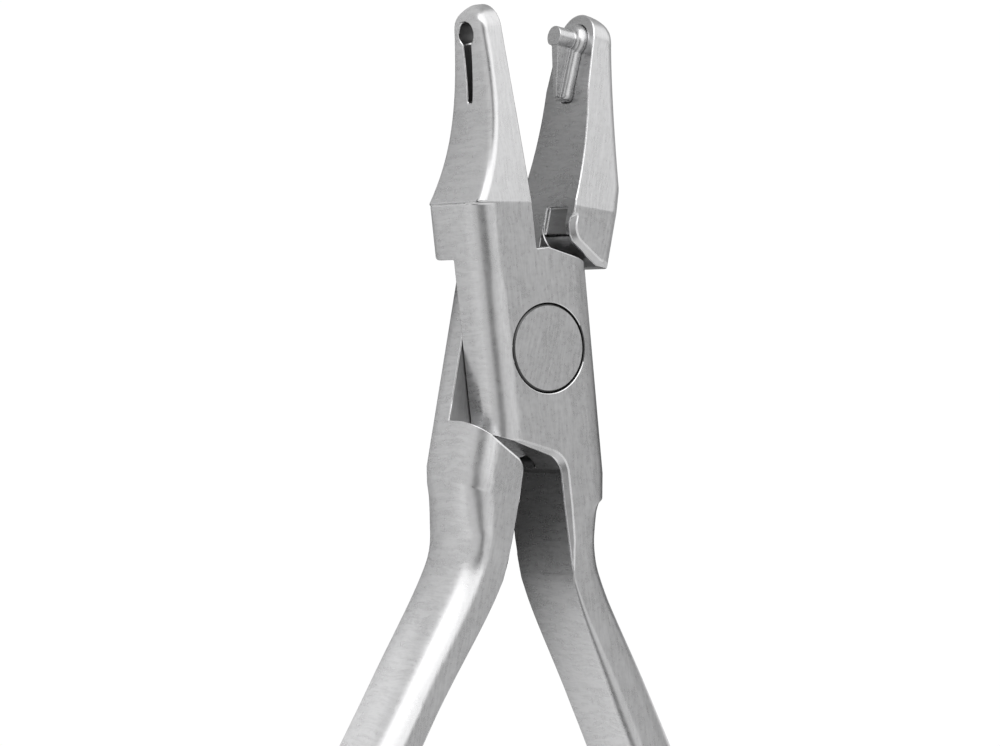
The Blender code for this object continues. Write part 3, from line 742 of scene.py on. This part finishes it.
def build_punch(half):
    """The brazed insert: a crowned key-shaped base, and the punch swept about the pivot.

    A wedge then cuts the punch's web back.
    """
    face = half.jaw_inner
    top = face + INSERT_HEIGHT
    punch = key_outline(-PUNCH_CLEARANCE, PUNCH_FOOT)
    first = math.asin((top + INSERT_BORDER) / KEY_REACH)
    last = math.asin((face + PUNCH_LENGTH) / KEY_REACH)
    rings = np.concatenate((
        flat_ring(key_outline(INSERT_BORDER, PUNCH_FOOT - BASE_STEP), face - INSERT_DEPTH),
        *(crown_ring(face, turn) for turn in np.linspace(0.0, 0.5 * math.pi, CROWN_POINTS)),
        flat_ring(punch, top),
        turned_rings(punch, np.linspace(first, last, PUNCH_SWEEP_POINTS)),
    ))
    insert = add_object("brazed_punch", grid_mesh("brazed_punch", rings))
    end_x = face + PUNCH_LENGTH
    web_x = end_x - WEB_STEP
    cylinder = KEY_RADIUS - PUNCH_CLEARANCE
    web = 0.5 * KEY_SLOT_TOP - PUNCH_CLEARANCE
    high = KEY_REACH - math.sqrt(cylinder ** 2 - web ** 2)
    low = KEY_REACH - KEY_SLOT_LENGTH - INSERT_BORDER
    wedge = np.array([
        (web_x - WEB_DROP, low),
        (end_x + PUNCH_LENGTH, low),
        (end_x + PUNCH_LENGTH, high),
        (web_x, high),
    ])
    carve(insert, [prism("web_slope", wedge, [(-CLEAR, 0.0), (CLEAR, 0.0)])])
    return insert


def recessed(centre, normal, half, rim):
    """How deep each face of a forging lies, as the weight of its painted shade and extra roughness, from
    its centre and normal in the closed frame.

    1 on the keyhole's walls and the pin's ring, PART_DEEP on the lap face, the jaw's relief and
    the crotch, 0 elsewhere and on all edge breaks outside the ring and the crotch.
    """
    x, y, z = centre.T
    reach = np.hypot(x, y)
    key = reach > KEY_REACH - KEY_SLOT_LENGTH - KEY_MARGIN
    key &= reach < KEY_REACH + KEY_RADIUS + KEY_MARGIN
    key &= (np.abs(z) < KEY_RADIUS + KEY_SIDE_MARGIN) & (np.abs(normal[:, 0]) < 0.8)
    ring = (reach < 0.5 * PIN_HEAD + 2.0 * PIN_RUNNING_GAP) & (z < half.half_joint - NEAR)
    under = (np.abs(z - 0.5 * LAP_GAP) < NEAR) & (normal[:, 2] < -0.9)
    relief = (np.abs(x - half.jaw_inner + RELIEF_DEPTH) < NEAR) & (normal[:, 0] > 0.9) & (y > 0.0)
    crotch = (np.abs(x) < CROTCH_HALF_WIDTH) & (np.abs(z) < CROTCH_HALF_DEPTH)
    crotch &= (y < CROTCH_TOP) & (y > CROTCH_FOOT)
    # Painted shade: full on the keyhole's walls and the pin's ring, PART_DEEP on the lap face, the relief
    # and the crotch, the crotch's edge breaks included
    full = ring | (key & ~rim)
    partly = ((under | relief) & ~rim) | crotch
    return np.maximum(np.where(full, 1.0, 0.0), np.where(partly, PART_DEEP, 0.0))


def keep_on_faces(mesh, name, values):
    """Stores one number per face under a name."""
    kept = mesh.attributes.new(name, "FLOAT", "FACE")
    kept.data.foreach_set("value", np.asarray(values, dtype=np.float32))


def finish_mesh(item, place, edge_break, half):
    """Breaks the sharp edges and weights the normals, then sets the mesh in place.

    It keeps what the materials read: edge breaks per face, which get a painted highlight, and recesses
    per face, which get painted shade, the closed-frame place per point and the normal per corner. Points
    that a break pushed past the joint's front or back are brought back to it. The bevel marks its faces
    with the second material slot, and the slots are all set back to the first.
    """
    mesh = item.data
    joined = bmesh.new()
    joined.from_mesh(mesh)
    bmesh.ops.remove_doubles(joined, verts=joined.verts, dist=2.0 * SLIVER)
    joined.to_mesh(mesh)
    joined.free()
    mesh.shade_smooth()
    mesh.set_sharp_from_angle(angle=SHARP_ANGLE)
    if edge_break > 0.0:
        bevel = item.modifiers.new("edge_break", "BEVEL")
        bevel.width = edge_break
        bevel.segments = 2
        bevel.limit_method = "ANGLE"
        bevel.angle_limit = BREAK_ANGLE
        bevel.use_clamp_overlap = False
        bevel.material = 1
        bevel.miter_outer = "MITER_ARC"
    weigh = item.modifiers.new("weighted_normals", "WEIGHTED_NORMAL")
    weigh.keep_sharp = True
    weigh.weight = 80
    settle(item)
    mesh = item.data
    faces = len(mesh.polygons)
    slots = np.zeros(faces, dtype=np.int32)
    mesh.polygons.foreach_get("material_index", slots)
    centre = np.empty(faces * 3, dtype=np.float32)
    mesh.polygons.foreach_get("center", centre)
    normal = np.empty(faces * 3, dtype=np.float32)
    mesh.polygons.foreach_get("normal", normal)
    centre = centre.reshape(-1, 3)
    deep = np.zeros(faces)
    if half is not None:
        deep = recessed(centre, normal.reshape(-1, 3), half, slots == 1)
    # Edge breaks outside recesses carry the painted highlight; recessed faces carry painted shade by
    # their depth
    keep_on_faces(mesh, "forging_rim_highlight", np.where(deep > 0.0, 0.0, slots))
    keep_on_faces(mesh, "forging_recess_shade", deep)
    mesh.polygons.foreach_set("material_index", np.zeros(faces, dtype=np.int32))
    count = len(mesh.vertices)
    spot = np.empty(count * 3)
    mesh.vertices.foreach_get("co", spot)
    spot[2::3] = np.clip(spot[2::3], -0.5 * JOINT_THICKNESS, 0.5 * JOINT_THICKNESS)
    mesh.vertices.foreach_set("co", spot)
    where = mesh.attributes.new("forging_place", "FLOAT_VECTOR", "POINT")
    where.data.foreach_set("vector", spot)
    corner = np.empty(len(mesh.loops) * 3, dtype=np.float32)
    mesh.corner_normals.foreach_get("vector", corner)
    facing = mesh.attributes.new("forging_facing", "FLOAT_VECTOR", "CORNER")
    facing.data.foreach_set("vector", corner)
    mesh.transform(place @ Matrix.Scale(MM, 4))
    return item


LIFT = Matrix.Translation((0.0, 0.0, 0.5 * JOINT_THICKNESS * MM))
FRONT_PLACE = LIFT @ Matrix.Rotation(OPEN_TURN, 4, "Z")
REAR_PLACE = LIFT @ Matrix.Rotation(-OPEN_TURN, 4, "Z") @ Matrix.Rotation(math.pi, 4, "Y")
PIN_PLACE = LIFT @ Matrix.Rotation(-OPEN_TURN, 4, "Z")


# Materials

class Tree:
    """Short hand for placing and linking nodes."""

    def __init__(self, tree):
        self.tree = tree

    def add(self, kind, **settings):
        """A new node with its settings."""
        node = self.tree.nodes.new(kind)
        for key, value in settings.items():
            setattr(node, key, value)
        return node

    def link(self, source, target):
        """Joins an output socket to an input socket."""
        self.tree.links.new(source, target)

    def put(self, target, value):
        """Links a socket or sets a plain value."""
        if isinstance(value, bpy.types.NodeSocket):
            self.link(value, target)
        else:
            target.default_value = value

    def math(self, operation, a, b=0.0):
        """The operation's value for a and b, sockets or numbers."""
        node = self.add("ShaderNodeMath", operation=operation)
        self.put(node.inputs[0], a)
        self.put(node.inputs[1], b)
        return node.outputs[0]

    def ramp(self, value, low, high, start=0.0, end=1.0):
        """A smooth step: start where value is low, end where it is high."""
        node = self.add("ShaderNodeMapRange", interpolation_type="SMOOTHSTEP")
        for socket, setting in zip(node.inputs, (value, low, high, start, end)):
            self.put(socket, setting)
        return node.outputs[0]

    def noise(self, vector, scale, detail=2.0, rough=0.5):
        """Noise at a place, as a 0..1 value."""
        node = self.add("ShaderNodeTexNoise")
        self.put(node.inputs["Vector"], vector)
        for label, value in (("Scale", scale), ("Detail", detail), ("Roughness", rough)):
            self.put(node.inputs[label], value)
        return node.outputs["Fac"]


def new_group(name, inputs, outputs):
    """A shader node group with named sockets."""
    tree = bpy.data.node_groups.new(name, "ShaderNodeTree")
    for label, kind, value in inputs:
        socket = tree.interface.new_socket(label, in_out="INPUT", socket_type=kind)
        if value is not None:
            socket.default_value = value
    for label, kind in outputs:
        tree.interface.new_socket(label, in_out="OUTPUT", socket_type=kind)
    helper = Tree(tree)
    return helper, helper.add("NodeGroupInput"), helper.add("NodeGroupOutput")


def blasted_grain():
    """Bead-blast grain: 0.6 of a fine noise and 0.4 of a coarse one, out as a 0..1 value."""
    t, given, out = new_group(
        "blasted_grain",
        [("Place", "NodeSocketVector", None), ("Size", "NodeSocketFloat", 5.0)],
        [("Grain", "NodeSocketFloat")],
    )
    fine = t.noise(given.outputs["Place"], given.outputs["Size"], 3.0, 0.6)
    coarse = t.noise(given.outputs["Place"], t.math("MULTIPLY", given.outputs["Size"], 0.17), 2.0, 0.5)
    grain = t.math("ADD", t.math("MULTIPLY", fine, 0.6), t.math("MULTIPLY", coarse, 0.4))
    t.link(grain, out.inputs["Grain"])
    return t.tree


def ground_lines():
    """Grinding lines: noise on a place squeezed along the lines and swayed by a slow noise."""
    t, given, out = new_group(
        "ground_lines",
        [
            ("Place", "NodeSocketVector", None),
            ("Pitch", "NodeSocketFloat", 3.0),
            ("Sway", "NodeSocketFloat", 0.35),
        ],
        [("Lines", "NodeSocketFloat")],
    )
    slow = t.noise(given.outputs["Place"], 0.35, 1.0, 0.5)
    apart = t.add("ShaderNodeSeparateXYZ")
    t.link(given.outputs["Place"], apart.inputs[0])
    sway = t.math("MULTIPLY", t.math("SUBTRACT", slow, 0.5), given.outputs["Sway"])
    across = t.math("ADD", apart.outputs[0], sway)
    joined = t.add("ShaderNodeCombineXYZ")
    t.link(t.math("MULTIPLY", across, given.outputs["Pitch"]), joined.inputs[0])
    t.link(t.math("MULTIPLY", apart.outputs[1], 0.5), joined.inputs[1])
    t.link(t.math("MULTIPLY", apart.outputs[2], 0.5), joined.inputs[2])
    t.link(t.noise(joined.outputs[0], 1.0, 3.0, 0.65), out.inputs["Lines"])
    return t.tree


GRAIN = blasted_grain()
LINES = ground_lines()


def use_group(t, group, **values):
    """The group placed in a material with its own values."""
    node = t.add("ShaderNodeGroup", node_tree=group)
    for label, value in values.items():
        t.put(node.inputs[label], value)
    return node.outputs[0]


def steel_material(name, colour, roughness, lines_depth, grain_depth):
    """Bare satin steel: blasted grain everywhere, ground lines on the flats and the outer sides.

    Edge breaks get a painted highlight in a lighter base colour and are smoother, recessed faces get
    painted shade in a darker base colour and are rougher. Places are in millimetres in the closed frame,
    so the pattern rides with its piece.
    """
    material = bpy.data.materials.new(name)
    material.use_nodes = True
    t = Tree(material.node_tree)
    shader = material.node_tree.nodes["Principled BSDF"]
    shader.inputs["Metallic"].default_value = 1.0
    place = t.add("ShaderNodeAttribute", attribute_name="forging_place").outputs["Vector"]
    facing = t.add("ShaderNodeAttribute", attribute_name="forging_facing").outputs["Vector"]
    apart = t.add("ShaderNodeSeparateXYZ")
    t.link(facing, apart.inputs[0])
    flat = t.ramp(t.math("ABSOLUTE", apart.outputs[2]), 0.8, 0.97)
    side = t.ramp(t.math("ABSOLUTE", apart.outputs[0]), 0.75, 0.95)
    grain = use_group(t, GRAIN, Place=place, Size=GRAIN_SIZE)
    along = use_group(t, LINES, Place=place, Pitch=FLAT_PITCH, Sway=FLAT_SWAY)
    turned_place = t.add("ShaderNodeMapping")
    t.link(place, turned_place.inputs["Vector"])
    turned_place.inputs["Rotation"].default_value = (0.0, 0.0, math.radians(90.0))
    over = use_group(t, LINES, Place=turned_place.outputs[0], Pitch=SIDE_PITCH, Sway=SIDE_SWAY)
    flat_lines = t.math("MULTIPLY", t.math("SUBTRACT", along, 0.5), flat)
    side_lines = t.math("MULTIPLY", t.math("SUBTRACT", over, 0.5), side)
    lines = t.math("ADD", flat_lines, t.math("MULTIPLY", side_lines, SIDE_LINES))
    height = t.math("ADD", t.math("MULTIPLY", lines, lines_depth), t.math("MULTIPLY", grain, grain_depth))
    bump = t.add("ShaderNodeBump")
    bump.inputs["Strength"].default_value = 1.0
    bump.inputs["Distance"].default_value = MM
    t.link(height, bump.inputs["Height"])
    t.link(bump.outputs[0], shader.inputs["Normal"])
    # Edge-break mask for the painted highlight and smoother finish, recess weight for the painted shade
    # and rougher finish
    rim = t.add("ShaderNodeAttribute", attribute_name="forging_rim_highlight").outputs["Fac"]
    recess = t.add("ShaderNodeAttribute", attribute_name="forging_recess_shade").outputs["Fac"]
    uneven = t.math("ADD", grain, t.math("MULTIPLY", lines, 0.5))
    satin = t.ramp(uneven, 0.2, 0.8, roughness - 0.04, roughness + 0.05)
    rougher = t.math("MULTIPLY", recess, RECESS_ROUGHER)
    wear = t.math("SUBTRACT", rougher, t.math("MULTIPLY", rim, RIM_SMOOTHER))
    t.link(t.math("ADD", satin, wear), shader.inputs["Roughness"])
    mix = t.add("ShaderNodeMix", data_type="RGBA")
    t.link(t.ramp(t.math("ADD", grain, lines), 0.25, 0.75), mix.inputs[0])
    mix.inputs["A"].default_value = (*(DARK_TONE * c for c in colour), 1.0)
    mix.inputs["B"].default_value = (*(LIGHT_TONE * c for c in colour), 1.0)
    # Base colour: lighter on edge breaks as a painted highlight, darker in recesses as painted shade
    darker = t.math("MULTIPLY", recess, RECESS_PAINTED_SHADE)
    painted_highlight_and_shade = t.math("SUBTRACT", t.math("MULTIPLY", rim, RIM_PAINTED_HIGHLIGHT), darker)
    shade = t.add("ShaderNodeVectorMath", operation="SCALE")
    t.link(mix.outputs["Result"], shade.inputs[0])
    t.link(t.math("ADD", painted_highlight_and_shade, 1.0), shade.inputs["Scale"])
    t.link(shade.outputs[0], shader.inputs["Base Color"])
    return material


SATIN = steel_material("satin_steel_look", (0.64, 0.64, 0.645), 0.29, 0.014, 0.006)
PIN_LOOK = steel_material("ground_pin_look", (0.63, 0.63, 0.635), 0.29, 0.014, 0.004)
PUNCH_LOOK = steel_material("punch_steel_look", (0.63, 0.63, 0.635), 0.27, 0.008, 0.006)


def dress(item, place, edge_break, half, material, body, node):
    """Finishes a piece, gives it its material, ties it to its body and hides the CAD node it replaces."""
    item.data.materials.append(material)
    item.data.materials.append(material)
    finish_mesh(item, place, edge_break, half)
    item.data.materials.clear()
    item.data.materials.append(material)
    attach(item, body)
    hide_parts(node)


DIE = Half(True)
PUNCH = Half(False)

front = build_half("front_forging", DIE)
carve(front, [pin_hole(), keyhole()])
dress(front, FRONT_PLACE, EDGE_BREAK, DIE, SATIN, "front_body", "front_half")

rear = build_half("rear_forging", PUNCH)
carve(rear, [pin_seat_hole(), insert_seat(PUNCH), jaw_relief(PUNCH)])
dress(rear, REAR_PLACE, EDGE_BREAK, PUNCH, SATIN, "rear_body", "rear_half")

dress(build_pin(), PIN_PLACE, 0.0, DIE, PIN_LOOK, "rear_body", "pivot_pin")
insert = build_punch(PUNCH)
dress(insert, REAR_PLACE, INSERT_EDGE_BREAK, None, PUNCH_LOOK, "rear_body", "punch_insert")


# Floor, light and camera

def white_floor():
    """A wide flat white sheet at the rest plane, plain white to the camera.

    What the steel sees of it is matt, with painted shade (a darker area up from the crotch and a slight
    dimming towards +y) and two faint painted glows, each a product of smooth steps of x and y in metres.
    """
    size = 6.0
    corners = [(-size, -size, 0.0), (size, -size, 0.0), (size, size, 0.0), (-size, size, 0.0)]
    mesh = bpy.data.meshes.new("floor")
    mesh.from_pydata(corners, [], [(0, 1, 2, 3)])
    floor = add_object("floor", mesh)
    material = bpy.data.materials.new("white_floor")
    material.use_nodes = True
    t = Tree(material.node_tree)
    t.tree.nodes.clear()
    glow = t.add("ShaderNodeEmission")
    glow.inputs["Strength"].default_value = 1.02
    apart = t.add("ShaderNodeSeparateXYZ")
    t.link(t.add("ShaderNodeTexCoord").outputs["Object"], apart.inputs[0])
    # Painted shade, seen only in the steel: darker to the right of the joint's left side and up from the
    # crotch, darkest below y = -4 mm, and slightly dimmer towards +y past 4 mm
    within = t.ramp(apart.outputs[0], -0.006, -0.001)
    crotch = t.math("MULTIPLY", within, t.ramp(apart.outputs[1], -0.028, -0.014))
    open_floor = t.ramp(apart.outputs[1], 0.004, 0.018, 0.85, 0.79)
    painted_shade_floor = t.ramp(apart.outputs[1], -0.004, 0.012, 0.13, 0.50)
    painted_crotch_shade = t.math("MULTIPLY", crotch, t.math("SUBTRACT", open_floor, painted_shade_floor))
    matt = t.add("ShaderNodeBsdfDiffuse")
    t.link(t.math("SUBTRACT", open_floor, painted_crotch_shade), matt.inputs["Color"])
    # Painted glows below the crotch, light that no lamp gives: one on the same right side, one well to
    # the left of the left handle
    painted_floor_glow = t.add("ShaderNodeEmission")
    inner_painted_glow = t.math("MULTIPLY", within, t.ramp(apart.outputs[1], -0.016, -0.036, 0.0, 0.22))
    outer = t.ramp(apart.outputs[0], -0.008, -0.014)
    outer_painted_glow = t.math("MULTIPLY", outer, t.ramp(apart.outputs[1], -0.014, -0.022, 0.0, 0.24))
    t.link(t.math("ADD", inner_painted_glow, outer_painted_glow), painted_floor_glow.inputs["Strength"])
    lit = t.add("ShaderNodeAddShader")
    t.link(matt.outputs[0], lit.inputs[0])
    t.link(painted_floor_glow.outputs[0], lit.inputs[1])
    mix = t.add("ShaderNodeMixShader")
    t.link(t.add("ShaderNodeLightPath").outputs["Is Camera Ray"], mix.inputs[0])
    t.link(lit.outputs[0], mix.inputs[1])
    t.link(glow.outputs[0], mix.inputs[2])
    out = t.add("ShaderNodeOutputMaterial")
    t.link(mix.outputs[0], out.inputs["Surface"])
    mesh.materials.append(material)


def studio_world():
    """A dim room under a wide soft panel, with softer walls beside it.

    Each part of the light is a product of smooth steps of the direction's x, y and z.
    """
    world = bpy.data.worlds.new("studio")
    bpy.context.scene.world = world
    world.use_nodes = True
    t = Tree(world.node_tree)
    background = world.node_tree.nodes["Background"]
    direction = t.add("ShaderNodeTexCoord").outputs["Generated"]
    apart = t.add("ShaderNodeSeparateXYZ")
    t.link(direction, apart.inputs[0])
    x, y, z = apart.outputs
    # Panel overhead towards +y, brighter on the left, its near edge receding either side of x = 0
    edge = t.math("MAXIMUM", t.math("MULTIPLY", x, 0.2), t.math("MULTIPLY", x, -0.68))
    spread = t.math("MULTIPLY", t.ramp(t.math("SUBTRACT", y, edge), -0.04, 0.17), t.ramp(z, 0.0, 0.16))
    panel = t.math("MULTIPLY", spread, t.ramp(x, 0.62, 0.25, 0.74, 1.38))
    # Right wall, brighter towards -y, then the strip overhead, the left wall and the far left corner
    right_wall = t.math("MULTIPLY", t.ramp(x, 0.36, 0.56), t.ramp(y, 0.02, -0.09, 0.18, 0.38))
    overhead = t.math("MULTIPLY", t.ramp(x, 0.52, 0.36, 0.0, 0.56), t.ramp(x, -0.56, -0.40))
    left_wall = t.ramp(x, -0.72, -0.86, 0.0, 0.56)
    walls = t.math("ADD", right_wall, left_wall)
    corner = t.math("MULTIPLY", t.ramp(y, 0.42, 0.62, 0.0, 0.7), t.ramp(x, 0.0, -0.3))
    total = t.math("ADD", t.math("ADD", walls, corner), t.math("MAXIMUM", panel, overhead))
    background.inputs["Color"].default_value = (1.0, 1.0, 1.0, 1.0)
    t.link(t.math("ADD", total, 0.20), background.inputs["Strength"])


def photo_camera():
    """A long lens at the photograph's angle, framed so the pin's face lands where it does there."""
    roll = Matrix.Rotation(CAMERA_ROLL, 3, "Z")
    back = roll @ Vector((-math.sin(CAMERA_YAW), 0.0, math.cos(CAMERA_YAW)))
    up = roll @ Vector((0.0, 1.0, 0.0))
    right = up.cross(back)
    across = (PIN_PIXEL[0] - 0.5 * PICTURE_SIZE[0]) / PIXELS_PER_MM
    down = (PIN_PIXEL[1] - 0.5 * PICTURE_SIZE[1]) / PIXELS_PER_MM
    spot = Vector((0.0, 0.0, JOINT_THICKNESS)) - right * across + up * down
    data = bpy.data.cameras.new("camera")
    data.sensor_width = 36.0
    data.lens = PIXELS_PER_MM * CAMERA_DISTANCE * data.sensor_width / PICTURE_SIZE[0]
    data.clip_start = 0.01
    data.clip_end = 20.0
    camera = bpy.data.objects.new("camera", data)
    bpy.context.scene.collection.objects.link(camera)
    turn = Matrix((right, up, back)).transposed().to_4x4()
    camera.matrix_world = Matrix.Translation((spot + back * CAMERA_DISTANCE) * MM) @ turn
    bpy.context.scene.camera = camera


white_floor()
studio_world()
photo_camera()
bpy.context.scene.view_settings.view_transform = "Standard"
